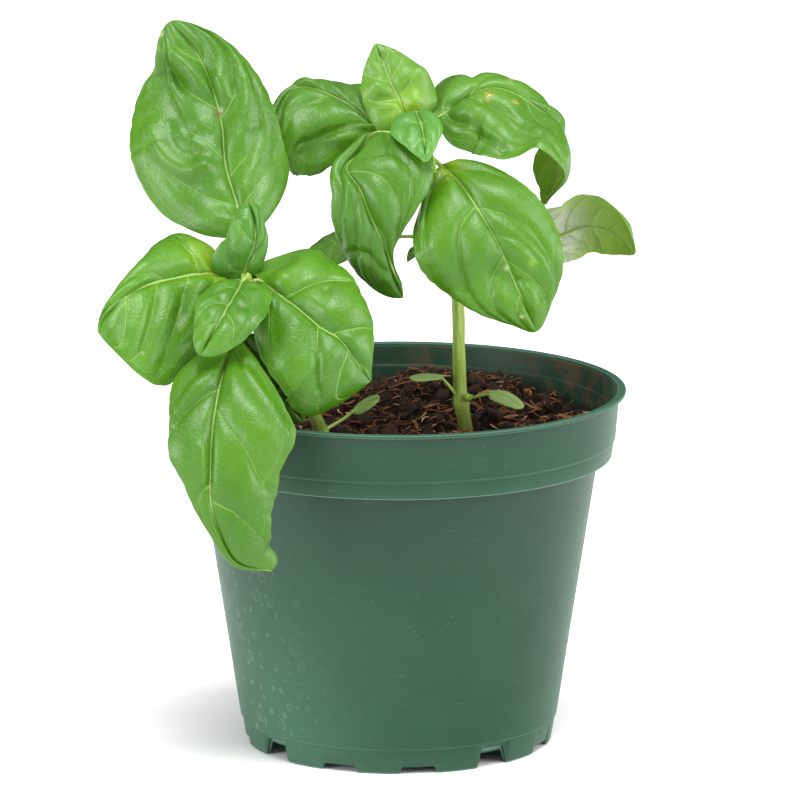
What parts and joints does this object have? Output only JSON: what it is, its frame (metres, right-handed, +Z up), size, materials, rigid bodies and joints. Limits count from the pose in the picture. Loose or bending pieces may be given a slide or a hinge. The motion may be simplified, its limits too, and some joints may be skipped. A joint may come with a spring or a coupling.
{
  "type": "potted basil plant",
  "caption": "Leafy basil plant growing in soil in a tapered round plastic nursery pot with a wide collar, rolled lip and notched foot ring.",
  "frame": {"origin": "bottom centre of the whole plant's bounding box, at the level of the pot's feet; the pot's axis is 10.0 mm to the right (+X) of it and 5.4 mm behind it (+Y)", "axes": "+Z up along the pot's axis, +X to the plant's right seen from the front, +Y to the back"},
  "size_m": [0.1808, 0.1658, 0.248],
  "materials": {
    "pot": "satin",
    "soil": "matte",
    "stem": "satin",
    "leaf": "satin",
    "seed_leaf": "satin"
  },
  "bodies": {
    "root": {"pot": "pot", "soil": "soil", "stem_right": "stem", "stem_left": "stem", "leaf_r_top_back": "leaf", "leaf_r_top_front": "leaf", "leaf_r_upper_left": "leaf", "leaf_r_front_left": "leaf", "leaf_r_front": "leaf", "leaf_r_upper_right": "leaf", "leaf_r_low_right": "leaf", "leaf_r_low_left": "leaf", "leaf_r_axil": "leaf", "leaf_l_back": "leaf", "leaf_l_outer": "leaf", "leaf_l_inner": "leaf", "leaf_l_front": "leaf", "leaf_l_top_back": "leaf", "leaf_l_top_front": "leaf", "leaf_l_low": "leaf", "seed_leaf_r_a": "seed_leaf", "seed_leaf_r_b": "seed_leaf", "seed_leaf_l": "seed_leaf"}
  },
  "joints": []
}
